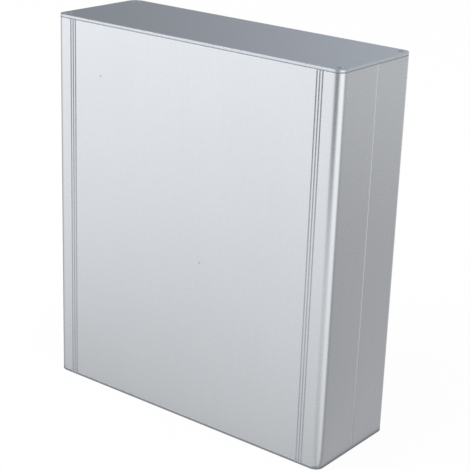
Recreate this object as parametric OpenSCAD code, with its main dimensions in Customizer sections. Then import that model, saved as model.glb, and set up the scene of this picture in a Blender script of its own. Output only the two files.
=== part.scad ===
// Extruded aluminium instrument case that stands on one of its end plates.
// Two identical half-shells interlock with a tongue and a slot along the middle of the narrow
// sides. An end plate closes each cut end, held by four countersunk screws that cut their thread
// into channels in the corners of the extrusions.
// Z runs along the extrusions, X across the broad faces and Y from the front face to the rear.
// The origin is the centre of the underside. All sizes are in millimetres.

/* [Case] */
// Width across the two narrow sides
case_w = 224; // [140:1:320]
// Depth from the front face to the rear face
case_d = 76; // [60:1:120]
// Length of the extruded half-shells
shell_len = 250; // [100:1:500]
// Outer radius of the four long corners
corner_r = 6; // [4.5:0.1:8]
// Thickness of the extruded walls
wall = 2; // [1.6:0.1:2.6]
// Bevel on the cut ends of the shells and on the rims of the end plates
edge_bevel = 0.25; // [0.1:0.05:0.4]

/* [Fine grooves in the broad faces] */
// Number of grooves in each group
groove_count = 3; // [1:1:5]
// Distance from a narrow side to the first groove
groove_inset = 12.2; // [9:0.1:20]
// Distance from one groove to the next
groove_pitch = 2; // [1.6:0.1:4]
// Width of a groove
groove_w = 1.1; // [0.5:0.1:1.4]
// Depth of a groove
groove_depth = 0.7; // [0.3:0.1:1]

/* [Joint between the half-shells] */
// Thickness of the outer and inner lips beside the slot
lip_t = 1.1; // [0.9:0.1:1.6]
// Thickness of the tongue
tongue_t = 1; // [0.8:0.1:1.6]
// Height of the tongue above the meeting faces
tongue_h = 1.8; // [1.2:0.1:3]
// Clearance on each side of the tongue
tongue_clear = 0.1; // [0.05:0.05:0.2]
// Free space between the tip of the tongue and the bottom of its slot
tongue_tip_clear = 0.3; // [0.1:0.1:0.6]
// Height of the thickened rail that carries the joint
rail_h = 5; // [4.5:0.1:8]
// Bevel on the outer edge of each meeting face
joint_bevel = 0.3; // [0.1:0.05:0.5]

/* [Board guides] */
// Clear width of a slot for a circuit board
guide_slot = 1.9; // [1.2:0.1:2.6]
// Thickness of each guide rib
guide_rib = 1.2; // [0.8:0.1:2]
// How far the ribs stand out from the side wall
guide_reach = 2.8; // [2:0.1:4]
// Distance from one board slot to the next
guide_pitch = 7; // [5.5:0.1:14]
// Space between a screw channel and the first guide
guide_margin = 2.5; // [1:0.1:5]

/* [End plates] */
// Thickness of an end plate
plate_t = 2; // [1.8:0.1:4]

/* [Screws] */
// Thread diameter of the screws
screw_d = 3; // [2.8:0.1:4]
// Length of a screw from the top of its head to its tip
screw_len = 8; // [6:0.5:16]
// Distance of the screws from the outer faces of the case
screw_inset = 5.2; // [4.8:0.1:7]
// Diameter of the countersunk head
head_d = 6; // [5.2:0.1:6.4]
// Height of the straight rim of the head
head_rim = 0.15; // [0.05:0.05:0.25]
// How deep the head lies below the face of the plate
head_sink = 0.1; // [0.05:0.05:0.2]
// Play between the head and its countersink
head_play = 0.03; // [0.02:0.01:0.1]
// Play around the screw in the hole of the plate
hole_play = 0.1; // [0.05:0.05:0.3]
// Depth of the thread that a screw cuts into its channel
thread_depth = 0.15; // [0.1:0.05:0.25]
// Radial clearance between the screw's core and its channel
core_clear = 0.05; // [0.03:0.01:0.1]
// Wall around a screw channel
channel_wall = 1.8; // [1.2:0.1:2.4]
// Width of the gap along the inner side of a screw channel
channel_gap = 1.2; // [0.8:0.1:1.6]
// Width of the arms of the cross recess
recess_w = 0.75; // [0.5:0.05:1]
// Span of the cross recess at the top of the head
recess_span = 3.4; // [2.6:0.1:4]
// Depth of the cross recess
recess_depth = 1.2; // [0.8:0.1:1.4]

/* [Hidden] */
$fn = 64;

case_h = shell_len + 2 * plate_t;
slot_w = tongue_t + 2 * tongue_clear;
rail_t = 2 * lip_t + slot_w;
slot_depth = tongue_h + tongue_tip_clear;
channel_d = screw_d - 2 * thread_depth;
core_d = channel_d - 2 * core_clear;
boss_r = channel_d / 2 + channel_wall;
hole_d = screw_d + 2 * hole_play;
csk_d = head_d + 2 * (head_sink + head_rim + head_play);
csk_depth = (csk_d - hole_d) / 2;
head_depth = head_rim + (head_d - screw_d) / 2;
guide_block = guide_slot + 2 * guide_rib;
first_guide = screw_inset + boss_r + guide_margin + guide_block / 2;
guide_room = case_d / 2 - rail_h - rail_t + wall - guide_block / 2 - first_guide;
guide_count = max(0, floor(guide_room / guide_pitch) + 1);
screw_x = case_w / 2 - screw_inset;
screw_y = case_d / 2 - screw_inset;
over = 1;

shell_color = [0.80, 0.81, 0.83];
plate_color = [0.66, 0.67, 0.70];
screw_color = [0.55, 0.56, 0.58];

// ---- Outline and edges shared by the shells and the plates ----

module rounded_outline(w, d, r) {
    square([w - 2 * r, d], center = true);
    square([w, d - 2 * r], center = true);
    for (x = [-1, 1], y = [-1, 1])
        translate([x * (w / 2 - r), y * (d / 2 - r)])
            circle(r);
}

// Rectangle that stands on the X axis, with its four corners bevelled
module bevelled_section(w, h, bevel) {
    polygon([
        [-w / 2 + bevel, 0],
        [w / 2 - bevel, 0],
        [w / 2, bevel],
        [w / 2, h - bevel],
        [w / 2 - bevel, h],
        [-w / 2 + bevel, h],
        [-w / 2, h - bevel],
        [-w / 2, bevel]
    ]);
}

// Upright block with rounded corners and a bevel around both ends
module bevelled_block(w, d, h, r, bevel) {
    rotate([90, 0, 90])
        linear_extrude(w - 2 * r, center = true)
            bevelled_section(d, h, bevel);
    rotate([90, 0, 0])
        linear_extrude(d - 2 * r, center = true)
            bevelled_section(w, h, bevel);
    for (x = [-1, 1], y = [-1, 1])
        translate([x * (w / 2 - r), y * (d / 2 - r), 0])
            rotate_extrude()
                intersection() {
                    bevelled_section(2 * r, h, bevel);
                    square([r, h]);
                }
}

// ---- Section of the extrusion: the front half, open towards +Y ----

module wall_ring() {
    difference() {
        rounded_outline(case_w, case_d, corner_r);
        rounded_outline(case_w - 2 * wall, case_d - 2 * wall, corner_r - wall);
    }
}

// Solid corner that carries a screw channel, at the right-hand front corner
module corner_block() {
    reach = screw_inset + boss_r;
    translate([case_w / 2, -case_d / 2]) {
        translate([-reach, 0])
            square([reach, screw_inset]);
        translate([-screw_inset, 0])
            square([screw_inset, reach]);
        translate([-screw_inset, screw_inset])
            circle(boss_r);
    }
}

// Bore of a screw channel, open along a narrow gap towards the inside of the case
module channel_bore() {
    translate([screw_x, -screw_y]) {
        circle(d = channel_d);
        rotate(135)
            translate([0, -channel_gap / 2])
                square([boss_r + over, channel_gap]);
    }
}

// Thickened edge of the right-hand wall, blended into the wall below it
module joint_rail() {
    translate([case_w / 2, 0])
        polygon([
            [0, 0],
            [-rail_t, 0],
            [-rail_t, -rail_h],
            [-wall, -rail_h - rail_t + wall],
            [0, -rail_h - rail_t + wall]
        ]);
}

// Pairs of ribs that hold the edge of a board, on the inside of the right-hand wall
module board_guides() {
    for (i = [0 : 1 : guide_count - 1])
        translate([case_w / 2 - wall - guide_reach, -case_d / 2 + first_guide + i * guide_pitch])
            difference() {
                translate([0, -guide_block / 2])
                    square([guide_reach + wall / 2, guide_block]);
                translate([-over, -guide_slot / 2])
                    square([guide_reach + over, guide_slot]);
            }
}

// Tongue on the left-hand rail, with its tip bevelled so that it finds the slot
module tongue() {
    lead = tongue_t / 4;
    translate([-case_w / 2 + lip_t + tongue_clear, 0])
        polygon([
            [0, -lip_t],
            [tongue_t, -lip_t],
            [tongue_t, tongue_h - lead],
            [tongue_t - lead, tongue_h],
            [lead, tongue_h],
            [0, tongue_h - lead]
        ]);
}

module tongue_slot() {
    translate([case_w / 2 - lip_t - slot_w, -slot_depth])
        square([slot_w, slot_depth + over]);
}

module face_grooves() {
    for (i = [0 : 1 : groove_count - 1])
        translate([case_w / 2 - groove_inset - i * groove_pitch - groove_w, -case_d / 2 - over])
            square([groove_w, groove_depth + over]);
}

module joint_bevels() {
    translate([case_w / 2, 0])
        polygon([
            [-joint_bevel - over, over],
            [over, over],
            [over, -joint_bevel - over]
        ]);
}

module both_sides() {
    children();
    mirror([1, 0, 0])
        children();
}

module half_section() {
    difference() {
        intersection() {
            union() {
                wall_ring();
                both_sides() {
                    corner_block();
                    joint_rail();
                    board_guides();
                }
            }
            rounded_outline(case_w, case_d, corner_r);
            translate([-case_w / 2, -case_d / 2])
                square([case_w, case_d / 2]);
        }
        tongue_slot();
        both_sides() {
            channel_bore();
            face_grooves();
            joint_bevels();
        }
    }
    tongue();
}

module half_shell() {
    translate([0, 0, plate_t])
        intersection() {
            linear_extrude(shell_len)
                half_section();
            bevelled_block(case_w, case_d, shell_len, corner_r, edge_bevel);
        }
}

// ---- End plate, with its outer face upwards at plate_t ----

module countersunk_hole() {
    translate([0, 0, -over])
        cylinder(d = hole_d, h = plate_t + 2 * over);
    translate([0, 0, plate_t - csk_depth])
        cylinder(d1 = hole_d, d2 = csk_d + 2 * over, h = csk_depth + over);
}

module end_plate() {
    difference() {
        bevelled_block(case_w, case_d, plate_t, corner_r, edge_bevel);
        for (x = [-1, 1], y = [-1, 1])
            translate([x * screw_x, y * screw_y, 0])
                countersunk_hole();
    }
}

// ---- Countersunk screw, with the top of its head at the origin ----

module cross_recess() {
    translate([0, 0, -recess_depth])
        intersection() {
            for (turn = [0, 90])
                rotate(turn)
                    translate([-recess_span / 2, -recess_w / 2, 0])
                        cube([recess_span, recess_w, recess_depth + over]);
            cylinder(d1 = recess_w, d2 = recess_span + over, h = recess_depth + over / 2);
        }
}

module screw() {
    tip = core_d / 6;
    difference() {
        rotate_extrude()
            polygon([
                [0, 0],
                [head_d / 2, 0],
                [head_d / 2, -head_rim],
                [screw_d / 2, -head_depth],
                [screw_d / 2, head_sink - plate_t],
                [core_d / 2, head_sink - plate_t],
                [core_d / 2, tip - screw_len],
                [core_d / 2 - tip, -screw_len],
                [0, -screw_len]
            ]);
        cross_recess();
    }
}

// ---- The pieces in their places ----

// Puts an end piece at the top of the case, or turned over at its foot
module at_end(end) {
    if (end > 0)
        translate([0, 0, case_h - plate_t])
            children();
    else
        translate([0, 0, plate_t])
            rotate([180, 0, 0])
                children();
}

// One screw: end is 1 at the top, side is 1 on the right, face is 1 at the rear
module corner_screw(end, face, side) {
    color(screw_color)
        at_end(end)
            translate([side * screw_x, end * face * screw_y, plate_t - head_sink])
                screw();
}

module front_shell() {
    color(shell_color)
        half_shell();
}

module rear_shell() {
    color(shell_color)
        rotate([0, 0, 180])
            half_shell();
}

module top_end_plate() {
    color(plate_color)
        at_end(1)
            end_plate();
}

module bottom_end_plate() {
    color(plate_color)
        at_end(-1)
            end_plate();
}

module screw_top_front_left() {
    corner_screw(1, -1, -1);
}

module screw_top_front_right() {
    corner_screw(1, -1, 1);
}

module screw_top_rear_left() {
    corner_screw(1, 1, -1);
}

module screw_top_rear_right() {
    corner_screw(1, 1, 1);
}

module screw_bottom_front_left() {
    corner_screw(-1, -1, -1);
}

module screw_bottom_front_right() {
    corner_screw(-1, -1, 1);
}

module screw_bottom_rear_left() {
    corner_screw(-1, 1, -1);
}

module screw_bottom_rear_right() {
    corner_screw(-1, 1, 1);
}

front_shell();
rear_shell();
top_end_plate();
bottom_end_plate();
screw_top_front_left();
screw_top_front_right();
screw_top_rear_left();
screw_top_rear_right();
screw_bottom_front_left();
screw_bottom_front_right();
screw_bottom_rear_left();
screw_bottom_rear_right();
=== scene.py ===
"""Looks of an extruded aluminium instrument case that stands on one of its end plates.

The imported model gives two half-shells, two end plates and eight corner screws, each at its place.
The shells and the plates keep their solids and get anodised finishes. The screws are modelled
again here, with a rounded rim, a tapered cross recess and a thread, and stand for the plain ones.
All lengths are in metres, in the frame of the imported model: Z runs along the extrusions, X across
the broad faces and Y from the front face to the rear.
"""

import logging
import math
from dataclasses import dataclass
from enum import Enum

import bpy
from mathutils import Matrix, Vector


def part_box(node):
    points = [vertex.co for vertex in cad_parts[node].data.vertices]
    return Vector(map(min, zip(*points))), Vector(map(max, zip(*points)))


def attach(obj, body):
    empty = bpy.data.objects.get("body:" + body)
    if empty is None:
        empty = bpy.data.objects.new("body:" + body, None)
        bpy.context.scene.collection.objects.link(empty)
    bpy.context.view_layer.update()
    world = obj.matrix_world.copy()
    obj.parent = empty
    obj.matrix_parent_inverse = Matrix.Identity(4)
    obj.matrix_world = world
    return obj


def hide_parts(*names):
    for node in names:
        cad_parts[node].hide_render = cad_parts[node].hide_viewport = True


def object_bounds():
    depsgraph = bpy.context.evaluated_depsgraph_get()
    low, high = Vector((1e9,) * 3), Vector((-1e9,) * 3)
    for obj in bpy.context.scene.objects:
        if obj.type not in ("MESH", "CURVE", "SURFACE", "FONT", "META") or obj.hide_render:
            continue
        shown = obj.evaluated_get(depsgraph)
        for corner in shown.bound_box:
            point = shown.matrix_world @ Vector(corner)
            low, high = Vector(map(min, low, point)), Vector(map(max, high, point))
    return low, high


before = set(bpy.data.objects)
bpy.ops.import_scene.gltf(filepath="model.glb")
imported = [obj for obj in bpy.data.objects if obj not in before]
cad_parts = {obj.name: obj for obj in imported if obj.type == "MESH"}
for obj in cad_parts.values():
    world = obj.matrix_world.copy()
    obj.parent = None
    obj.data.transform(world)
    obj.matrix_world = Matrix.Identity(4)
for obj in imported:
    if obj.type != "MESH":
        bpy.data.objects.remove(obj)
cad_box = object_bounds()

LOG = logging.getLogger("instrument_case")
BODY = "root"
MM = 0.001

Colour = tuple[float, float, float, float]
Place = tuple[float, float, float]
Sockets = bpy.types.bpy_prop_collection


class Slot(Enum):
    """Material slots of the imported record."""

    SHELL = "anodised_shell"
    PLATE = "anodised_plate"
    SCREW = "screw_steel"


class Side(Enum):
    """Sign of a piece's place along one axis of the case."""

    LOW = -1
    HIGH = 1


@dataclass(frozen=True)
class Step:
    """A smooth step from a low value, held up to the start, to a high one, held from the end on."""

    start: float
    end: float
    low: float = 0.0
    high: float = 1.0


# ---- Small helpers for colours, selections and node trees ----


def grey(level: float) -> Colour:
    """Returns an opaque neutral colour of one level."""
    return (level, level, level, 1.0)


def deselect_all() -> None:
    bpy.ops.object.select_all(action="DESELECT")


def activate(piece: bpy.types.Object) -> None:
    """Makes one object the only selected and the active one.

    Args:
        piece: The object that the next operators act on.
    """
    deselect_all()
    piece.select_set(True)
    bpy.context.view_layer.objects.active = piece


def cover(piece: bpy.types.Object, material: bpy.types.Material) -> None:
    """Puts one material into every slot of a piece.

    Args:
        piece: The object to dress.
        material: Its finish.
    """
    if not piece.material_slots:
        piece.data.materials.append(material)
    for place in piece.material_slots:
        place.material = material


class NodeGraph:
    """A shader node tree with short calls to add nodes, set their inputs and link them."""

    def __init__(self, tree: bpy.types.NodeTree) -> None:
        """Wraps a node tree.

        Args:
            tree: The tree that new nodes go into.
        """
        self.tree = tree

    def feed(self, socket: bpy.types.NodeSocket, value: object) -> None:
        """Links an output to an input, or sets the input's own value.

        Args:
            socket: The input to feed.
            value: An output socket, or a plain value.
        """
        if isinstance(value, bpy.types.NodeSocket):
            self.tree.links.new(value, socket)
        else:
            socket.default_value = value

    def add(self, kind: str, inputs: dict | None = None, **settings: object) -> bpy.types.Node:
        """Adds one node.

        Args:
            kind: The node's type name.
            inputs: Values or output sockets, by the name or index of the input they feed.
            **settings: Properties of the node itself.

        Returns:
            The new node.
        """
        node = self.tree.nodes.new(kind)
        for name, value in settings.items():
            setattr(node, name, value)
        for key, value in (inputs or {}).items():
            self.feed(node.inputs[key], value)
        return node

    def group(self, tree: bpy.types.NodeTree, inputs: dict) -> Sockets:
        """Places a shared node group.

        Args:
            tree: The group.
            inputs: Values or output sockets, by the name of the input they feed.

        Returns:
            The placed group's outputs.
        """
        node = self.add("ShaderNodeGroup", None, node_tree=tree)
        for name, value in inputs.items():
            self.feed(node.inputs[name], value)
        return node.outputs

    def maths(self, operation: str, *operands: object, clamp: bool = False) -> bpy.types.NodeSocket:
        """Adds a Math node.

        Args:
            operation: The operation's name, such as "ADD".
            *operands: Its one, two or three operands.
            clamp: Whether the result is held between 0 and 1.

        Returns:
            The node's output.
        """
        inputs = dict(enumerate(operands))
        return self.add("ShaderNodeMath", inputs, operation=operation, use_clamp=clamp).outputs[0]

    def vector(self, operation: str, *operands: object) -> Sockets:
        """Adds a Vector Math node and returns its outputs."""
        return self.add("ShaderNodeVectorMath", dict(enumerate(operands)), operation=operation).outputs

    def ramp(self, value: object, step: Step) -> bpy.types.NodeSocket:
        """Adds a Map Range node that follows a smooth step.

        Args:
            value: The value to map.
            step: Where the step begins and ends, and the results before and after it.

        Returns:
            The node's output.
        """
        inputs = {0: value, 1: step.start, 2: step.end, 3: step.low, 4: step.high}
        return self.add("ShaderNodeMapRange", inputs, interpolation_type="SMOOTHSTEP").outputs[0]

    def noise(
        self, vector: object, scale: object, detail: float, roughness: float = 0.5
    ) -> bpy.types.NodeSocket:
        """Adds a Noise Texture node.

        Args:
            vector: Where the noise is read.
            scale: How many waves fit in one unit.
            detail: How many octaves are added up.
            roughness: How strong the finer octaves are.

        Returns:
            The node's factor output, between 0 and 1.
        """
        values = {"Vector": vector, "Scale": scale, "Detail": detail, "Roughness": roughness}
        return self.add("ShaderNodeTexNoise", values).outputs[0]

    def axes(self, vector: object) -> Sockets:
        """Splits a vector and returns the outputs X, Y and Z."""
        return self.add("ShaderNodeSeparateXYZ", {0: vector}).outputs

    def blend(self, factor: object, first: object, second: object) -> bpy.types.NodeSocket:
        """Blends two colours.

        Args:
            factor: 0 gives the first colour, 1 the second.
            first: The first colour.
            second: The second colour.

        Returns:
            The blended colour's output.
        """
        values = {0: factor, 6: first, 7: second}
        return self.add("ShaderNodeMix", values, data_type="RGBA").outputs[2]


def new_material(name: str) -> tuple[bpy.types.Material, NodeGraph]:
    """Starts a material with an empty node tree.

    Args:
        name: The material's name.

    Returns:
        The material and its graph.
    """
    material = bpy.data.materials.new(name)
    material.use_nodes = True
    material.node_tree.nodes.clear()
    return material, NodeGraph(material.node_tree)


# ---- Effects that several finishes share, as shader node groups ----


class SurfaceEffects:
    """Node groups for the blasted grain, the die lines, the worn edges with a painted rim highlight, the
    painted shade of the seams and the dust.
    """

    TONE_GAIN = 4.0
    LINE_STRETCH = 0.004
    MIDDLE = 0.5
    FINE_GRAIN = 2.3
    GRAIN_DETAIL = 2.0
    FINE_DETAIL = 1.0
    LINE_DETAIL = 3.0
    LINE_ROUGHNESS = 0.65
    FULL_TO_NONE = Step(0.0, 1.0, 1.0, 0.0)
    SEAM_EDGE = Step(0.4, 1.0, 1.0, 0.0)

    def __init__(self) -> None:
        """Builds each group once."""
        self.grain = self._build_grain()
        self.lines = self._build_lines()
        self.rub_and_highlight = self._build_rub_and_highlight()
        self.seams = self._build_seams()
        self.specks = self._build_specks()

    @staticmethod
    def _open(
        name: str, inputs: dict[str, str], outputs: list[str]
    ) -> tuple[NodeGraph, Sockets, Sockets]:
        """Starts a node group.

        Args:
            name: The group's name.
            inputs: Each input's name and its socket type's last word.
            outputs: The names of the float outputs.

        Returns:
            The group's graph, its inputs' sockets and its output node's sockets.
        """
        tree = bpy.data.node_groups.new(name, "ShaderNodeTree")
        for label, kind in inputs.items():
            tree.interface.new_socket(label, in_out="INPUT", socket_type=f"NodeSocket{kind}")
        for label in outputs:
            tree.interface.new_socket(label, in_out="OUTPUT", socket_type="NodeSocketFloat")
        graph = NodeGraph(tree)
        entry = graph.add("NodeGroupInput").outputs
        leave = graph.add("NodeGroupOutput").inputs
        return graph, entry, leave

    def _tone(self, graph: NodeGraph, texture: bpy.types.NodeSocket) -> bpy.types.NodeSocket:
        """Returns a texture's value as a tone that swings about 0."""
        return graph.maths("MULTIPLY", graph.maths("SUBTRACT", texture, self.MIDDLE), self.TONE_GAIN)

    def _build_grain(self) -> bpy.types.NodeTree:
        """Builds the grain of a blasted surface.

        Returns:
            A group with a tone about 0 and a height from 0 to 1.
        """
        inputs = {"Vector": "Vector", "Size": "Float"}
        graph, entry, leave = self._open("BlastedGrain", inputs, ["Tone", "Height"])
        frequency = graph.maths("DIVIDE", 1.0, entry["Size"])
        coarse = graph.noise(entry["Vector"], frequency, self.GRAIN_DETAIL)
        finer = graph.maths("MULTIPLY", frequency, self.FINE_GRAIN)
        fine = graph.noise(entry["Vector"], finer, self.FINE_DETAIL)
        both = graph.maths("ADD", coarse, fine)
        graph.feed(leave["Tone"], self._tone(graph, coarse))
        graph.feed(leave["Height"], graph.maths("MULTIPLY", both, self.MIDDLE))
        return graph.tree

    def _build_lines(self) -> bpy.types.NodeTree:
        """Builds the faint lines that a die leaves along Z.

        Returns:
            A group with a tone about 0 and a height from 0 to 1.
        """
        inputs = {"Vector": "Vector", "Width": "Float"}
        graph, entry, leave = self._open("DieLines", inputs, ["Tone", "Height"])
        drawn = graph.vector("MULTIPLY", entry["Vector"], (1.0, 1.0, self.LINE_STRETCH))[0]
        frequency = graph.maths("DIVIDE", 1.0, entry["Width"])
        lines = graph.noise(drawn, frequency, self.LINE_DETAIL, self.LINE_ROUGHNESS)
        graph.feed(leave["Tone"], self._tone(graph, lines))
        graph.feed(leave["Height"], lines)
        return graph.tree

    def _build_rub_and_highlight(self) -> bpy.types.NodeTree:
        """Builds the places that hands smooth on an upright block; the lighter rims also stand in for a
        painted highlight.

        Returns:
            A group with masks of the rims at both cut ends and of the long corners.
        """
        sizes = ("Half Width", "Half Depth", "Bottom", "Top", "Rim Reach", "Corner Reach")
        inputs = {"Vector": "Vector"} | {label: "Float" for label in sizes}
        graph, entry, leave = self._open("RubbedEdgesAndRimHighlight", inputs, ["Rim", "Corner"])
        place = graph.axes(entry["Vector"])
        from_side = graph.maths("SUBTRACT", entry["Half Width"], graph.maths("ABSOLUTE", place["X"]))
        from_face = graph.maths("SUBTRACT", entry["Half Depth"], graph.maths("ABSOLUTE", place["Y"]))
        above = graph.maths("SUBTRACT", place["Z"], entry["Bottom"])
        below = graph.maths("SUBTRACT", entry["Top"], place["Z"])
        rim = graph.maths("DIVIDE", graph.maths("MINIMUM", above, below), entry["Rim Reach"])
        inward = graph.maths("MAXIMUM", from_side, from_face)
        corner = graph.maths("DIVIDE", inward, entry["Corner Reach"])
        # The rim mask lightens the cut ends: worn, and a painted highlight.
        graph.feed(leave["Rim"], graph.ramp(rim, self.FULL_TO_NONE))
        graph.feed(leave["Corner"], graph.ramp(corner, self.FULL_TO_NONE))
        return graph.tree

    def _build_seams(self) -> bpy.types.NodeTree:
        """Builds a band of painted shade about a level seam.

        Returns:
            A group with a mask of a thin band about one height.
        """
        inputs = {"Vector": "Vector", "Height": "Float", "Reach": "Float"}
        graph, entry, leave = self._open("SeamShade", inputs, ["Mask"])
        above = graph.maths("SUBTRACT", graph.axes(entry["Vector"])["Z"], entry["Height"])
        gap = graph.maths("DIVIDE", graph.maths("ABSOLUTE", above), entry["Reach"])
        # Painted shade: the mask darkens a thin band about the seam's height.
        graph.feed(leave["Mask"], graph.ramp(gap, self.SEAM_EDGE))
        return graph.tree

    def _build_specks(self) -> bpy.types.NodeTree:
        """Builds scattered dust specks, far apart and each with its own size.

        Returns:
            A group with the specks' mask.
        """
        inputs = {"Vector": "Vector", "Spacing": "Float", "Share": "Float", "Radius": "Float"}
        graph, entry, leave = self._open("DustSpecks", inputs, ["Mask"])
        frequency = graph.maths("DIVIDE", 1.0, entry["Spacing"])
        cells = graph.add("ShaderNodeTexVoronoi", {"Vector": entry["Vector"], "Scale": frequency})
        draw = graph.add("ShaderNodeSeparateColor", {0: cells.outputs["Color"]}).outputs
        chosen = graph.maths("LESS_THAN", draw["Red"], entry["Share"])
        largest = graph.maths("MULTIPLY", entry["Radius"], frequency)
        radius = graph.maths("MULTIPLY", largest, draw["Green"])
        inside = graph.maths("LESS_THAN", cells.outputs["Distance"], radius)
        graph.feed(leave["Mask"], graph.maths("MULTIPLY", chosen, inside))
        return graph.tree


# ---- Worn places, painted highlights and painted shade ----


@dataclass(frozen=True)
class Seam:
    """A level band of painted shade round the case: its height and how far it reaches up and down."""

    height: float
    reach: float


@dataclass(frozen=True)
class CaseWearAndPaintedLight:
    """Worn rims and corners, the rims also a painted highlight, and painted shade in the seams, placed by
    the box of the dressed pieces.
    """

    low: Vector
    high: Vector
    seams: tuple[Seam, ...]
    rim_reach: float
    corner_reach: float
    joint_on_sides: bool = False

    CORNER_SHARE = 0.25
    BREAKUP = (0.5, 0.7)
    # The joint's near edge: a painted highlight, a lighter line beside the joint.
    JOINT_LIP_HIGHLIGHT = (-0.8 * MM, Step(0.3 * MM, 0.7 * MM, 1.0, 0.0))
    # The joint's gap: painted shade and dirt, a darker line.
    JOINT_GAP = (0.35 * MM, Step(0.3 * MM, 0.7 * MM, 1.0, 0.0))
    LIP_HIGHLIGHT_SHARE = 1.2
    GAP_SHARE = 0.5
    SIDE_SKIN = 1.0 * MM

    def masks(
        self,
        graph: NodeGraph,
        effects: SurfaceEffects,
        place: bpy.types.NodeSocket,
        grain: bpy.types.NodeSocket,
    ) -> tuple[bpy.types.NodeSocket, bpy.types.NodeSocket]:
        """Builds the masks of worn places with painted highlights, and of painted shade with dirt.

        Args:
            graph: The material's graph.
            effects: The shared node groups.
            place: The object coordinates.
            grain: The grain's tone, which breaks up the rubbing.

        Returns:
            How far hands have smoothed the surface, with painted highlights at the rims and along the
            joint, and how much painted shade lies in the seams, with painted shade and dirt in the
            joint's gap, from 0 to 1.
        """
        box = {
            "Vector": place,
            "Half Width": self.high.x,
            "Half Depth": self.high.y,
            "Bottom": self.low.z,
            "Top": self.high.z,
            "Rim Reach": self.rim_reach,
            "Corner Reach": self.corner_reach,
        }
        rub_and_highlight = graph.group(effects.rub_and_highlight, box)
        corner = graph.maths("MULTIPLY", rub_and_highlight["Corner"], self.CORNER_SHARE)
        edges = graph.maths("MAXIMUM", rub_and_highlight["Rim"], corner)
        broken = graph.maths("MULTIPLY_ADD", grain, *self.BREAKUP)
        rubbed_and_highlight = graph.maths("MULTIPLY", edges, broken, clamp=True)
        # Painted shade in the seams, and at the foot a painted contact shadow.
        bands = []
        for seam in self.seams:
            band = {"Vector": place, "Height": seam.height, "Reach": seam.reach}
            bands.append(graph.group(effects.seams, band)["Mask"])
        shade_and_grime = graph.maths("MAXIMUM", *bands)
        # Along the joint: a painted highlight on its near edge, and painted shade and dirt in its gap.
        if self.joint_on_sides:
            lip_highlight = self._joint_line(graph, place, *self.JOINT_LIP_HIGHLIGHT, self.LIP_HIGHLIGHT_SHARE)
            gap = self._joint_line(graph, place, *self.JOINT_GAP, self.GAP_SHARE)
            rubbed_and_highlight = graph.maths("MAXIMUM", rubbed_and_highlight, lip_highlight)
            shade_and_grime = graph.maths("MAXIMUM", shade_and_grime, gap)
        return rubbed_and_highlight, shade_and_grime

    def _joint_line(
        self, graph: NodeGraph, place: bpy.types.NodeSocket, middle: float, edge: Step, share: float
    ) -> bpy.types.NodeSocket:
        """Builds the mask of a line along the joint, on the two narrow sides of the case alone.

        Args:
            graph: The material's graph.
            place: The object coordinates.
            middle: Where the line's middle lies along Y.
            edge: How the line fades with the distance from its middle.
            share: The mask's level in the line.

        Returns:
            The mask.
        """
        axes = graph.axes(place)
        out = graph.maths("ABSOLUTE", axes["X"])
        on_side = graph.maths("GREATER_THAN", out, self.high.x - self.SIDE_SKIN)
        gap = graph.maths("ABSOLUTE", graph.maths("SUBTRACT", axes["Y"], middle))
        return graph.maths("MULTIPLY", graph.maths("MULTIPLY", graph.ramp(gap, edge), on_side), share)


@dataclass(frozen=True)
class MarkedWearAndPaintedShade:
    """Worn places, and painted shade with dirt, that follow a turned piece through marks on its own
    faces.
    """

    rubbed_mark: str = "rubbed_and_highlight"
    shade_and_grime_mark: str = "shade_and_grime"

    def masks(
        self,
        graph: NodeGraph,
        effects: SurfaceEffects,
        place: bpy.types.NodeSocket,
        grain: bpy.types.NodeSocket,
    ) -> tuple[bpy.types.NodeSocket, bpy.types.NodeSocket]:
        """Reads the masks of worn places and of painted shade with dirt, in the same form as the case's
        masks.

        Args:
            graph: The material's graph.
            effects: The shared node groups; not used here.
            place: The object coordinates; not used here.
            grain: The grain's tone, which breaks up the rubbing.

        Returns:
            How far driving has smoothed the surface, and how much painted shade and dirt lie on it, from
            0 to 1.
        """
        rubbed_and_highlight = graph.add("ShaderNodeAttribute", attribute_name=self.rubbed_mark).outputs["Fac"]
        shade_and_grime = graph.add("ShaderNodeAttribute", attribute_name=self.shade_and_grime_mark).outputs["Fac"]
        broken = graph.maths("MULTIPLY_ADD", grain, *CaseWearAndPaintedLight.BREAKUP)
        return graph.maths("MULTIPLY", rubbed_and_highlight, broken, clamp=True), shade_and_grime


# ---- Finishes ----


@dataclass(frozen=True)
class Speck:
    """A dust speck that clings to the front face."""

    x: float
    z: float
    radius: float


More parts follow.
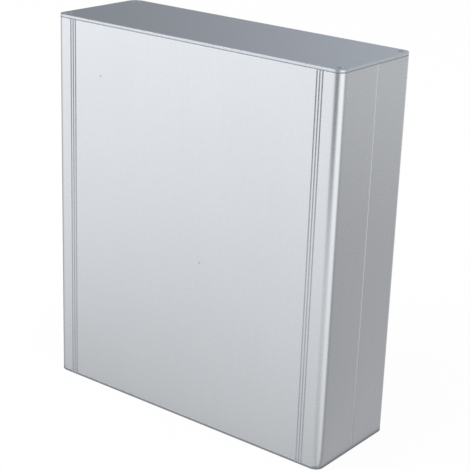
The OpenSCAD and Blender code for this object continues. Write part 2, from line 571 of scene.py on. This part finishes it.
@dataclass(frozen=True)
class MetalFinish:
    """A plated or anodised metal surface with grain, drawn lines, worn places, painted highlights,
    painted shade with dirt and a little dust.

    The colour swings between the shade and the light colour with the tones of the effects.
    """

    name: str
    slot: Slot
    shade: Colour
    light: Colour
    # The colour of the painted shade and dirt in seams, joints and recesses.
    shade_and_grime: Colour
    roughness: float
    roughness_swing: float
    rubbed_roughness: float
    grain_size: float
    grain_tone: float
    line_width: float
    line_tone: float
    cloud_tone: float
    relief: float
    specks: tuple[Speck, ...] = ()

    CLOUD_SIZE = 45.0 * MM
    CLOUD_DETAIL = 1.0
    LINE_RELIEF = 0.5
    SPECK_SPACING = 11.0 * MM
    SPECK_SHARE = 0.06
    SPECK_RADIUS = 0.28 * MM
    SPECK_FADE = 0.3 * MM
    DUST = (0.42, 0.43, 0.44, 1.0)
    DULL_ROUGHNESS = 0.5

    def build(self, effects: SurfaceEffects, wear_and_painted_light: CaseWearAndPaintedLight | MarkedWearAndPaintedShade) -> bpy.types.Material:
        """Builds the material.

        Args:
            effects: The shared node groups.
            wear_and_painted_light: Where the piece is worn and dirty, and where highlights and shade are
                painted.

        Returns:
            The new material.
        """
        material, graph = new_material(self.name)
        place = graph.add("ShaderNodeTexCoord").outputs["Object"]
        grain = graph.group(effects.grain, {"Vector": place, "Size": self.grain_size})
        lines = graph.group(effects.lines, {"Vector": place, "Width": self.line_width})
        rubbed_and_highlight, shade_and_grime = wear_and_painted_light.masks(graph, effects, place, grain["Tone"])
        dust = self._dust(graph, effects, place)
        tone = self._tone(graph, place, grain["Tone"], lines["Tone"])
        # The lightening mask also paints highlights; the darkening mask paints shade with dirt.
        colour = graph.blend(graph.maths("ADD", tone, rubbed_and_highlight, clamp=True), self.shade, self.light)
        colour = graph.blend(dust, graph.blend(shade_and_grime, colour, self.shade_and_grime), self.DUST)
        swing = graph.maths("MULTIPLY_ADD", grain["Tone"], self.roughness_swing, self.roughness)
        smoothed = graph.maths("MULTIPLY_ADD", rubbed_and_highlight, self.rubbed_roughness - self.roughness, swing)
        dull = graph.maths("MAXIMUM", dust, shade_and_grime)
        dulled = graph.maths("MULTIPLY", dull, self.DULL_ROUGHNESS - self.roughness)
        height = graph.maths("MULTIPLY_ADD", lines["Height"], self.LINE_RELIEF, grain["Height"])
        bump = graph.add("ShaderNodeBump", {"Strength": 1.0, "Distance": self.relief, "Height": height})
        values = {
            "Base Color": colour,
            "Metallic": 1.0,
            "Roughness": graph.maths("ADD", smoothed, dulled, clamp=True),
            "Normal": bump.outputs["Normal"],
        }
        surface = graph.add("ShaderNodeBsdfPrincipled", values)
        graph.add("ShaderNodeOutputMaterial", {"Surface": surface.outputs["BSDF"]})
        return material

    def _tone(
        self,
        graph: NodeGraph,
        place: bpy.types.NodeSocket,
        grain: bpy.types.NodeSocket,
        lines: bpy.types.NodeSocket,
    ) -> bpy.types.NodeSocket:
        """Adds up the tones of grain, lines and broad clouds.

        Args:
            graph: The material's graph.
            place: The object coordinates.
            grain: The grain's tone about 0.
            lines: The lines' tone about 0.

        Returns:
            The colour factor, which swings about a half.
        """
        middle = SurfaceEffects.MIDDLE
        cloud = graph.noise(place, 1.0 / self.CLOUD_SIZE, self.CLOUD_DETAIL)
        clouds = graph.maths("SUBTRACT", cloud, middle)
        tone = graph.maths("MULTIPLY_ADD", grain, self.grain_tone, middle)
        tone = graph.maths("MULTIPLY_ADD", lines, self.line_tone, tone)
        return graph.maths("MULTIPLY_ADD", clouds, self.cloud_tone, tone)

    def _dust(
        self, graph: NodeGraph, effects: SurfaceEffects, place: bpy.types.NodeSocket
    ) -> bpy.types.NodeSocket:
        """Builds the mask of the scattered dust and of the named specks on the front face.

        Args:
            graph: The material's graph.
            effects: The shared node groups.
            place: The object coordinates.

        Returns:
            The mask.
        """
        inputs = {
            "Vector": place,
            "Spacing": self.SPECK_SPACING,
            "Share": self.SPECK_SHARE,
            "Radius": self.SPECK_RADIUS,
        }
        mask = graph.group(effects.specks, inputs)["Mask"]
        for speck in self.specks:
            gap = graph.vector("DISTANCE", place, (speck.x, cad_box[0].y, speck.z))["Value"]
            fade = Step(speck.radius, speck.radius + self.SPECK_FADE, 1.0, 0.0)
            mask = graph.maths("MAXIMUM", mask, graph.ramp(gap, fade))
        return mask


SHELL_FINISH = MetalFinish(
    name="satin_anodised_extrusion",
    slot=Slot.SHELL,
    shade=(0.73, 0.755, 0.79, 1.0),
    light=(0.84, 0.865, 0.9, 1.0),
    # The colour of painted shade in the seams, and of painted shade and dirt in the joint's gap.
    shade_and_grime=(0.56, 0.58, 0.61, 1.0),
    roughness=0.28,
    roughness_swing=0.009,
    rubbed_roughness=0.24,
    grain_size=0.8 * MM,
    grain_tone=0.17,
    line_width=0.6 * MM,
    line_tone=0.1,
    cloud_tone=0.25,
    relief=0.006 * MM,
    specks=(Speck(-72.8 * MM, 218.8 * MM, 0.4 * MM), Speck(12.7 * MM, 112.8 * MM, 0.35 * MM)),
)

PLATE_FINISH = MetalFinish(
    name="blasted_anodised_plate",
    slot=Slot.PLATE,
    shade=(0.69, 0.725, 0.775, 1.0),
    light=(0.81, 0.85, 0.905, 1.0),
    # The colour of painted shade in the seams.
    shade_and_grime=(0.54, 0.56, 0.59, 1.0),
    roughness=0.34,
    roughness_swing=0.045,
    rubbed_roughness=0.26,
    grain_size=1.1 * MM,
    grain_tone=0.9,
    line_width=0.9 * MM,
    line_tone=0.0,
    cloud_tone=0.2,
    relief=0.012 * MM,
)

SCREW_FINISH = MetalFinish(
    name="zinc_plated_steel",
    slot=Slot.SCREW,
    shade=(0.88, 0.885, 0.89, 1.0),
    light=(0.97, 0.97, 0.97, 1.0),
    # The colour of painted shade and dirt on the recess floor.
    shade_and_grime=(0.4, 0.4, 0.41, 1.0),
    roughness=0.5,
    roughness_swing=0.03,
    rubbed_roughness=0.55,
    grain_size=0.25 * MM,
    grain_tone=0.2,
    line_width=0.2 * MM,
    line_tone=0.1,
    cloud_tone=0.1,
    relief=0.003 * MM,
)


# ---- The case's sub-assemblies ----


@dataclass
class Extrusions:
    """The two identical half-shells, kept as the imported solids."""

    finish: MetalFinish = SHELL_FINISH
    nodes: tuple[str, ...] = ("front_shell", "rear_shell")
    # The rims at the cut ends are worn and also carry a painted highlight.
    rim_reach: float = 0.8 * MM
    corner_reach: float = 6.0 * MM
    # Bands of painted shade: in the seam at the top, and at the foot a painted contact shadow.
    top_seam_rise: float = 0.2 * MM
    top_seam_reach: float = 0.5 * MM
    foot_seam_share: float = 0.7

    def seams(self) -> tuple[Seam, Seam]:
        """Finds the bands of painted shade at both ends: the one at the foot, a painted contact shadow on
        the bottom plate's edge, is as deep as the plate.

        Returns:
            The seams at the foot and at the top.
        """
        low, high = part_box(self.nodes[0])
        plate = low.z - cad_box[0].z
        foot = Seam(cad_box[0].z + plate / 2, plate * self.foot_seam_share)
        return foot, Seam(high.z + self.top_seam_rise, self.top_seam_reach)

    def dress(self, effects: SurfaceEffects) -> None:
        """Gives both half-shells one anodised finish that runs on across the joint.

        Args:
            effects: The shared node groups.
        """
        low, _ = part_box(self.nodes[0])
        _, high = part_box(self.nodes[1])
        # joint_on_sides paints a highlight beside the joint and shade with dirt in its gap.
        wear_and_painted_light = CaseWearAndPaintedLight(low, high, self.seams(), self.rim_reach, self.corner_reach, joint_on_sides=True)
        material = self.finish.build(effects, wear_and_painted_light)
        for node in self.nodes:
            cover(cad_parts[node], material)
            LOG.info("%s: %s", node, self.finish.name)


@dataclass
class EndPlates:
    """The plates that close both cut ends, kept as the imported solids."""

    finish: MetalFinish = PLATE_FINISH
    nodes: tuple[str, ...] = ("top_end_plate", "bottom_end_plate")
    rim_reach: float = 0.4 * MM
    corner_reach: float = 4.0 * MM

    def dress(self, effects: SurfaceEffects, seams: tuple[Seam, Seam]) -> None:
        """Gives both plates the blasted finish, worn at the outer rims, with painted shade in the seams.

        Args:
            effects: The shared node groups.
            seams: The bands of painted shade where the plates meet the extrusions and at the foot.
        """
        wear_and_painted_light = CaseWearAndPaintedLight(*cad_box, seams, self.rim_reach, self.corner_reach)
        material = self.finish.build(effects, wear_and_painted_light)
        for node in self.nodes:
            cover(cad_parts[node], material)
            LOG.info("%s: %s", node, self.finish.name)


@dataclass
class CornerScrews:
    """Eight countersunk screws with a cross recess, which cut their thread into the extrusions."""

    finish: MetalFinish = SCREW_FINISH
    wear_and_painted_light: MarkedWearAndPaintedShade = MarkedWearAndPaintedShade()
    length: float = 8.0 * MM
    head_d: float = 6.0 * MM
    head_rim: float = 0.15 * MM
    rim_round: float = 0.1 * MM
    rim_steps: int = 3
    core_d: float = 2.6 * MM
    thread_d: float = 3.0 * MM
    thread_pitch: float = 0.5 * MM
    thread_start: float = 2.1 * MM
    thread_root: float = 0.1 * MM
    base_share: float = 0.42
    crest_share: float = 0.07
    tip: float = 0.45 * MM
    recess_span: float = 3.4 * MM
    recess_w: float = 0.75 * MM
    recess_depth: float = 1.2 * MM
    floor_margin: float = 1.05
    arm_taper: float = 0.72
    well_d: float = 1.7 * MM
    cutter_over: float = 0.3 * MM
    smooth_angle: float = math.radians(32.0)
    segments: int = 64
    turn_step: float = math.radians(37.0)

    def place(self, effects: SurfaceEffects) -> None:
        """Models one screw and puts a copy at each of the eight corners.

        Args:
            effects: The shared node groups.
        """
        pattern = self._model()
        cover(pattern, self.finish.build(effects, self.wear_and_painted_light))
        middle = (cad_box[0].z + cad_box[1].z) / 2
        nodes = sorted(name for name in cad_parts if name.startswith("screw_"))
        for count, node in enumerate(nodes):
            low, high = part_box(node)
            end = Side.HIGH if high.z > middle else Side.LOW
            screw = pattern.copy()
            screw.data = pattern.data.copy()
            screw.name = f"corner_{node}"
            bpy.context.collection.objects.link(screw)
            screw.data.transform(self._seat(low, high, end, count * self.turn_step))
            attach(screw, BODY)
            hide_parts(node)
            LOG.info("%s: %s, %d faces", screw.name, self.finish.name, len(screw.data.polygons))
        bpy.data.objects.remove(pattern)

    @staticmethod
    def _seat(low: Vector, high: Vector, end: Side, turn: float) -> Matrix:
        """Finds the place of one screw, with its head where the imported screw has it.

        Args:
            low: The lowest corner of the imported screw.
            high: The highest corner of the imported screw.
            end: HIGH at the top of the case, LOW at its foot, where the head faces down.
            turn: How far the screw is driven round its axis.

        Returns:
            The transform from the pattern's place.
        """
        head_z = high.z if end is Side.HIGH else low.z
        centre = Vector(((low.x + high.x) / 2, (low.y + high.y) / 2, head_z))
        flip = Matrix.Identity(4) if end is Side.HIGH else Matrix.Rotation(math.pi, 4, "X")
        return Matrix.Translation(centre) @ flip @ Matrix.Rotation(turn, 4, "Z")

    def _model(self) -> bpy.types.Object:
        """Models the pattern screw.

        Returns:
            The screw, with the middle of its head's face at the origin.
        """
        screw = self._turned_blank()
        self._combine(screw, self._thread(), "UNION")
        for turn in (0.0, math.pi / 2):
            self._combine(screw, self._recess_arm(turn), "DIFFERENCE")
        self._combine(screw, self._recess_well(), "DIFFERENCE")
        activate(screw)
        bpy.ops.object.shade_smooth_by_angle(angle=self.smooth_angle)
        self._mark(screw)
        return screw

    def _mark(self, screw: bpy.types.Object) -> None:
        """Marks the recess's floor with painted shade and dirt, and the head's face as worn.

        Args:
            screw: The finished pattern screw.
        """
        shade_and_grime = screw.data.attributes.new(self.wear_and_painted_light.shade_and_grime_mark, "FLOAT", "FACE")
        rubbed_and_highlight = screw.data.attributes.new(self.wear_and_painted_light.rubbed_mark, "FLOAT", "FACE")
        for face in screw.data.polygons:
            height = face.center.z
            above_floor = height > -self.recess_depth * self.floor_margin
            inside = face.center.xy.length < self.recess_span / 2 and above_floor
            sunk = height < -self.recess_depth / 2
            # The recess floor's mark paints shade with dirt.
            shade_and_grime.data[face.index].value = float(inside and sunk)
            rubbed_and_highlight.data[face.index].value = float(height > -self.head_rim)

    def _turned_blank(self) -> bpy.types.Object:
        """Turns the head, the shank and the tip in one piece.

        Returns:
            The blank.
        """
        head_depth = self.head_rim + (self.head_d - self.thread_d) / 2
        shank = self.length - head_depth - self.tip
        deselect_all()
        bpy.ops.mesh.primitive_cylinder_add(
            vertices=self.segments,
            radius=self.core_d / 2,
            depth=shank,
            location=(0.0, 0.0, -head_depth - shank / 2),
        )
        blank = bpy.context.active_object
        blank.name = "screw_pattern"
        bpy.ops.object.transform_apply(location=True)
        self._grow_end(blank, Side.LOW, -self.tip, 1.0 - self.tip / self.core_d)
        self._grow_end(blank, Side.HIGH, 0.0, self.thread_d / self.core_d)
        self._grow_end(blank, Side.HIGH, head_depth - self.head_rim, self.head_d / self.thread_d)
        self._grow_end(blank, Side.HIGH, self.head_rim - self.rim_round, 1.0)
        for step in range(1, self.rim_steps + 1):
            before = self._rim_arc(step - 1)
            after = self._rim_arc(step)
            self._grow_end(blank, Side.HIGH, after[1] - before[1], after[0] / before[0])
        return blank

    def _rim_arc(self, step: int) -> tuple[float, float]:
        """Finds a point of the arc that rounds the head's rim.

        Args:
            step: How many steps up the arc the point lies.

        Returns:
            Its radius, and its height above the arc's start.
        """
        angle = math.pi / 2 * step / self.rim_steps
        radius = self.head_d / 2 - self.rim_round * (1.0 - math.cos(angle))
        return radius, self.rim_round * math.sin(angle)

    @staticmethod
    def _grow_end(blank: bpy.types.Object, end: Side, rise: float, scale: float) -> None:
        """Extrudes the face at one end of the blank along Z and scales the new face.

        Args:
            blank: The turned piece.
            end: Which end grows.
            rise: How far the new face moves along Z.
            scale: The new face's radius as a share of the old one's.
        """
        activate(blank)
        bpy.ops.object.mode_set(mode="EDIT")
        bpy.ops.mesh.select_mode(type="FACE")
        bpy.ops.mesh.select_all(action="DESELECT")
        bpy.ops.object.mode_set(mode="OBJECT")
        ends = sorted(blank.data.polygons, key=lambda face: face.center.z * end.value)
        ends[-1].select = True
        centre = ends[-1].center.copy()
        bpy.ops.object.mode_set(mode="EDIT")
        bpy.ops.mesh.extrude_region_move(TRANSFORM_OT_translate={"value": (0.0, 0.0, rise)})
        pivot = (centre.x, centre.y, centre.z + rise)
        bpy.ops.transform.resize(value=(scale, scale, 1.0), center_override=pivot)
        bpy.ops.object.mode_set(mode="OBJECT")

    def _thread(self) -> bpy.types.Object:
        """Sweeps the thread's ridge along its helix.

        Returns:
            One closed ridge that runs out at the neck and the tip.
        """
        root = self.core_d / 2 - self.thread_root
        crest = self.thread_d / 2
        base, flat = self.thread_pitch * self.base_share, self.thread_pitch * self.crest_share
        start = -self.length + self.tip
        shape = ((root, -base), (crest, -flat), (crest, flat), (root, base))
        deselect_all()
        bpy.ops.mesh.primitive_plane_add(size=1.0)
        ridge = bpy.context.active_object
        for vertex, (across, along) in zip(ridge.data.polygons[0].vertices, shape):
            ridge.data.vertices[vertex].co = Vector((across, 0.0, start + along))
        bpy.ops.object.mode_set(mode="EDIT")
        bpy.ops.mesh.select_all(action="SELECT")
        bpy.ops.mesh.delete(type="ONLY_FACE")
        bpy.ops.object.mode_set(mode="OBJECT")
        bpy.ops.object.modifier_add(type="SCREW")
        sweep = ridge.modifiers[-1]
        sweep.axis = "Z"
        sweep.angle = 2.0 * math.pi
        sweep.screw_offset = self.thread_pitch
        sweep.iterations = int((self.length - self.tip - self.thread_start) / self.thread_pitch)
        sweep.steps = self.segments // 2
        sweep.render_steps = self.segments // 2
        bpy.ops.object.modifier_apply(modifier=sweep.name)
        bpy.ops.object.mode_set(mode="EDIT")
        bpy.ops.mesh.select_all(action="SELECT")
        bpy.ops.mesh.fill_holes(sides=0)
        bpy.ops.mesh.select_all(action="SELECT")
        bpy.ops.mesh.normals_make_consistent(inside=False)
        bpy.ops.object.mode_set(mode="OBJECT")
        return ridge

    def _recess_arm(self, turn: float) -> bpy.types.Object:
        """Models the cutter for one arm of the cross, which narrows towards its bottom.

        Args:
            turn: How far the arm is turned about the screw's axis.

        Returns:
            The cutter.
        """
        deselect_all()
        bpy.ops.mesh.primitive_cube_add(size=1.0)
        arm = bpy.context.active_object
        for vertex in arm.data.vertices:
            deep = vertex.co.z < 0
            top_reach = self.recess_span * (1.0 + self.cutter_over / self.recess_depth)
            reach = self.recess_w if deep else top_reach
            width = self.recess_w * (self.arm_taper if deep else 1.0)
            height = -self.recess_depth if deep else self.cutter_over
            vertex.co = Vector((vertex.co.x * reach, vertex.co.y * width, height))
        arm.data.transform(Matrix.Rotation(turn, 4, "Z"))
        return arm

    def _recess_well(self) -> bpy.types.Object:
        """Models the cutter for the round well in the middle of the cross.

        Returns:
            The cutter.
        """
        deselect_all()
        bpy.ops.mesh.primitive_cone_add(
            vertices=self.segments // 2,
            radius1=self.well_d / 4,
            radius2=self.well_d / 2,
            depth=self.recess_depth + self.cutter_over,
            location=(0.0, 0.0, (self.cutter_over - self.recess_depth) / 2),
        )
        return bpy.context.active_object

    @staticmethod
    def _combine(piece: bpy.types.Object, tool: bpy.types.Object, operation: str) -> None:
        """Joins or cuts a piece with a tool, which is used up.

        Args:
            piece: The piece that changes.
            tool: The other solid.
            operation: "UNION" or "DIFFERENCE".
        """
        activate(piece)
        bpy.ops.object.modifier_add(type="BOOLEAN")
        change = piece.modifiers[-1]
        change.operation = operation
        change.solver = "EXACT"
        change.object = tool
        bpy.ops.object.modifier_apply(modifier=change.name)
        bpy.data.objects.remove(tool)


# ---- Studio ----


def seen(graph: NodeGraph) -> bpy.types.NodeSocket:
    """Finds the rays to which the surround shows.

    Args:
        graph: The material's or the world's graph.

    Returns:
        1 for rays from the camera, from gloss and through glass, and 0 for the others.
    """
    path = graph.add("ShaderNodeLightPath").outputs
    gloss = graph.maths("MAXIMUM", path["Is Glossy Ray"], path["Is Transmission Ray"])
    return graph.maths("MAXIMUM", path["Is Camera Ray"], gloss)


def sheet(name: str, size: float, height: float) -> bpy.types.Object:
    """Lays a square stage sheet level under the case.

    Args:
        name: The sheet's name.
        size: The length of its sides.
        height: How high it lies.

    Returns:
        The sheet.
    """
    deselect_all()
    bpy.ops.mesh.primitive_plane_add(size=size)
    laid = bpy.context.active_object
    laid.name = name
    laid.data.transform(Matrix.Translation((0.0, 0.0, height)))
    LOG.info("%s: %.0f m", name, size)
    return laid


@dataclass
class PaleFloor:
    """A nearly white floor that keeps the case's soft shadow."""

    size: float = 12.0
    level: float = 0.93
    diffuse: float = 0.1

    def build(self) -> None:
        """Lays and dresses the floor."""
        material, graph = new_material("pale_floor")
        matt = graph.add("ShaderNodeBsdfDiffuse", {"Color": grey(self.diffuse)})
        level = graph.maths("MULTIPLY", seen(graph), self.level)
        glow = graph.add("ShaderNodeEmission", {"Color": grey(1.0), "Strength": level})
        total = graph.add("ShaderNodeAddShader", {0: matt.outputs[0], 1: glow.outputs[0]})
        graph.add("ShaderNodeOutputMaterial", {"Surface": total.outputs[0]})
        cover(sheet("studio_floor", self.size, 0.0), material)


@dataclass
class PaintedReflectionTable:
    """A glowing sheet that only gloss sees, a painted reflection: a lit table in front, with painted
    shade at the foot, behind and beside the case.

    Distances are from the case's box. Headings are in degrees from straight ahead of the front face,
    positive to the right, about the front corner on the same side.
    """

    size: float = 12.0
    height: float = 0.02 * MM
    foot_tone: float = 0.59
    tone_rise: float = 0.23
    tone_fall: float = 0.22
    tone_slope: float = 0.19
    slope_end: float = 1.6
    # Painted shadow of the case in the reflections, close to its foot.
    foot_shade: Step = Step(0.5 * MM, 4.0 * MM, 0.6, 1.0)
    # A painted dark band in the reflections, ahead of the right-hand corner.
    gap_heading: float = 20.0
    gap_width: Step = Step(10.0, 40.0, 1.0, 0.0)
    gap_depth: Step = Step(0.42, 0.74, 0.16, 0.8)
    # A painted glare in the reflections, to the right.
    glare_heading: float = 78.0
    glare_width: Step = Step(8.0, 34.0, 0.14, 0.0)
    right_edge: Step = Step(100.0, 110.0, 1.0, 0.0)
    left_edge: Step = Step(-110.0, -55.0, 0.0, 1.0)
    # Painted shade in the reflections, behind the case.
    rear_tone: Step = Step(-0.8, 0.3, 0.33, 0.4)
    rear_turn: Step = Step(118.0, 160.0, -0.08, 0.045)
    rear_rise: Step = Step(0.3, 1.0, 0.0, 0.12)

    def build(self) -> None:
        """Lays and dresses the table."""
        material, graph = new_material("painted_reflection_table")
        glow = graph.add("ShaderNodeEmission", {"Color": grey(1.0), "Strength": self._tone(graph)})
        graph.add("ShaderNodeOutputMaterial", {"Surface": glow.outputs[0]})
        table = sheet("painted_reflection_table", self.size, self.height)
        table.visible_camera = False
        table.visible_diffuse = False
        table.visible_shadow = False
        cover(table, material)

    def _tone(self, graph: NodeGraph) -> bpy.types.NodeSocket:
        """Blends the painted lit front with the painted grey rear.

        Args:
            graph: The table's graph.

        Returns:
            The table's tone.
        """
        place = graph.axes(graph.add("ShaderNodeTexCoord").outputs["Object"])
        away = self._away(graph, place)
        right = self._heading(graph, place, cad_box[1].x)
        left = self._heading(graph, place, cad_box[0].x)
        ahead = (graph.ramp(left, self.left_edge), graph.ramp(right, self.right_edge))
        front = graph.maths("MULTIPLY", *ahead)
        behind = (graph.ramp(place["X"], self.rear_tone), graph.ramp(right, self.rear_turn))
        rear = graph.maths("ADD", graph.maths("ADD", *behind), graph.ramp(away, self.rear_rise))
        values = {0: front, 2: rear, 3: self._lit(graph, away, right)}
        whole = graph.add("ShaderNodeMix", values, data_type="FLOAT").outputs[0]
        return graph.maths("MULTIPLY", whole, graph.ramp(away, self.foot_shade))

    @staticmethod
    def _away(graph: NodeGraph, place: Sockets) -> bpy.types.NodeSocket:
        """Measures the distance to the case's box.

        Args:
            graph: The table's graph.
            place: The outputs X and Y of a point.

        Returns:
            The distance along the table.
        """
        half = cad_box[1]
        across = graph.maths("SUBTRACT", graph.maths("ABSOLUTE", place["X"]), half.x)
        along = graph.maths("SUBTRACT", graph.maths("ABSOLUTE", place["Y"]), half.y)
        across, along = (graph.maths("MAXIMUM", gap, 0.0) for gap in (across, along))
        square = graph.maths("MULTIPLY_ADD", across, across, graph.maths("MULTIPLY", along, along))
        return graph.maths("SQRT", square)

    @staticmethod
    def _heading(graph: NodeGraph, place: Sockets, corner_x: float) -> bpy.types.NodeSocket:
        """Measures the heading from a front corner of the case.

        Args:
            graph: The table's graph.
            place: The outputs X and Y of a point.
            corner_x: Where the corner lies along X.

        Returns:
            The heading in degrees.
        """
        across = graph.maths("SUBTRACT", place["X"], corner_x)
        ahead = graph.maths("SUBTRACT", cad_box[0].y, place["Y"])
        return graph.maths("DEGREES", graph.maths("ARCTAN2", across, ahead))

    def _lit(
        self, graph: NodeGraph, away: bpy.types.NodeSocket, heading: bpy.types.NodeSocket
    ) -> bpy.types.NodeSocket:
        """Grades the lit part of the table.

        Args:
            graph: The table's graph.
            away: The distance to the case.
            heading: The heading from the right-hand front corner.

        Returns:
            The tone, which grows with the distance, with a painted dark band ahead and a painted glare to
            the right.
        """
        fade = graph.maths("EXPONENT", graph.maths("DIVIDE", away, -self.tone_fall))
        tone = graph.maths("MULTIPLY_ADD", fade, -self.tone_rise, self.foot_tone + self.tone_rise)
        reach = graph.maths("MINIMUM", away, self.slope_end)
        tone = graph.maths("MULTIPLY_ADD", reach, self.tone_slope, tone)
        off_gap = graph.maths("ABSOLUTE", graph.maths("SUBTRACT", heading, self.gap_heading))
        dark = (graph.ramp(off_gap, self.gap_width), graph.ramp(away, self.gap_depth))
        off_glare = graph.maths("ABSOLUTE", graph.maths("SUBTRACT", heading, self.glare_heading))
        lifted = graph.maths("ADD", 1.0, graph.ramp(off_glare, self.glare_width))
        gain = graph.maths("SUBTRACT", lifted, graph.maths("MULTIPLY", *dark))
        return graph.maths("MULTIPLY", tone, gain)


@dataclass
class Surround:
    """A plain ambient light, and a surround that is white at the horizon and a bluish grey above it."""

    ambient: float = 0.55
    upper: Step = Step(0.0, 0.07, 1.0, 0.26)
    glow_heading: Place = (0.1, 0.99, 0.1)
    glow: Step = Step(0.62, 0.92, 0.0, 0.3)
    tint: Colour = (0.96, 1.0, 1.07, 1.0)

    def build(self) -> None:
        """Sets the world."""
        world = bpy.data.worlds.new("studio_surround")
        bpy.context.scene.world = world
        world.use_nodes = True
        world.node_tree.nodes.clear()
        graph = NodeGraph(world.node_tree)
        heading = graph.add("ShaderNodeTexCoord").outputs["Generated"]
        upper = graph.ramp(graph.axes(heading)["Z"], self.upper)
        glow = graph.ramp(graph.vector("DOT_PRODUCT", heading, self.glow_heading)["Value"], self.glow)
        tone = graph.maths("ADD", upper, glow)
        plain = graph.add("ShaderNodeBackground", {"Color": grey(1.0), "Strength": self.ambient})
        graded = graph.add("ShaderNodeBackground", {"Color": self.tint, "Strength": tone})
        values = {0: seen(graph), 1: plain.outputs[0], 2: graded.outputs[0]}
        mix = graph.add("ShaderNodeMixShader", values)
        graph.add("ShaderNodeOutputWorld", {"Surface": mix.outputs[0]})
        LOG.info("studio_surround: ambient %.2f", self.ambient)


@dataclass
class SoftLamp:
    """A soft square lamp that faces the middle of the case."""

    name: str
    place: Place
    size: float
    power: float

    def build(self) -> None:
        """Hangs the lamp."""
        light = bpy.data.lights.new(self.name, "AREA")
        light.size = self.size
        light.energy = self.power
        lamp = bpy.data.objects.new(self.name, light)
        bpy.context.collection.objects.link(lamp)
        place = Vector(self.place)
        target = (cad_box[0] + cad_box[1]) / 2
        lamp.location = place
        lamp.rotation_euler = (target - place).to_track_quat("-Z", "Y").to_euler()
        LOG.info("%s: %.0f W", self.name, self.power)


KEY_LAMP = SoftLamp(name="key_lamp", place=(-1.6, -1.9, 2.2), size=2.0, power=22.0)
FILL_LAMP = SoftLamp(name="fill_lamp", place=(2.2, -0.9, 1.6), size=1.6, power=8.0)


@dataclass
class StudioCamera:
    """The camera, which looks down on the right-hand front corner of the case."""

    place: Place = (0.5241, -0.6651, 0.4239)
    heading: float = math.radians(-36.2923)
    pitch: float = math.radians(19.7622)
    roll: float = math.radians(2.511)
    lens: float = 104.616
    sensor: float = 36.0
    shift: float = -0.0638
    clip: tuple[float, float] = (0.01, 50.0)

    def build(self) -> None:
        """Makes the camera and sets the plain view transform."""
        data = bpy.data.cameras.new("case_camera")
        data.lens = self.lens
        data.sensor_width = self.sensor
        data.shift_x = self.shift
        data.clip_start, data.clip_end = self.clip
        camera = bpy.data.objects.new("case_camera", data)
        bpy.context.collection.objects.link(camera)
        camera.matrix_world = Matrix.Translation(self.place) @ self._turn()
        bpy.context.scene.camera = camera
        bpy.context.scene.view_settings.view_transform = "Standard"
        LOG.info("case_camera: %.1f mm lens", self.lens)

    def _turn(self) -> Matrix:
        """Turns the camera by its heading, its pitch and its roll.

        Returns:
            The rotation.
        """
        ahead = Vector((
            math.sin(self.heading) * math.cos(self.pitch),
            math.cos(self.heading) * math.cos(self.pitch),
            -math.sin(self.pitch),
        ))
        level = Vector((math.cos(self.heading), -math.sin(self.heading), 0.0))
        upright = level.cross(ahead)
        across = level * math.cos(self.roll) + upright * math.sin(self.roll)
        up = upright * math.cos(self.roll) - level * math.sin(self.roll)
        return Matrix((across, up, -ahead)).transposed().to_4x4()


def main() -> None:
    """Dresses the case, models its screws and sets up the studio."""
    logging.basicConfig(level=logging.INFO, format="%(message)s")
    StudioCamera().build()
    effects = SurfaceEffects()
    extrusions = Extrusions()
    extrusions.dress(effects)
    EndPlates().dress(effects, extrusions.seams())
    CornerScrews().place(effects)
    PaleFloor().build()
    PaintedReflectionTable().build()
    Surround().build()
    KEY_LAMP.build()
    FILL_LAMP.build()


if __name__ == "__main__":
    main()
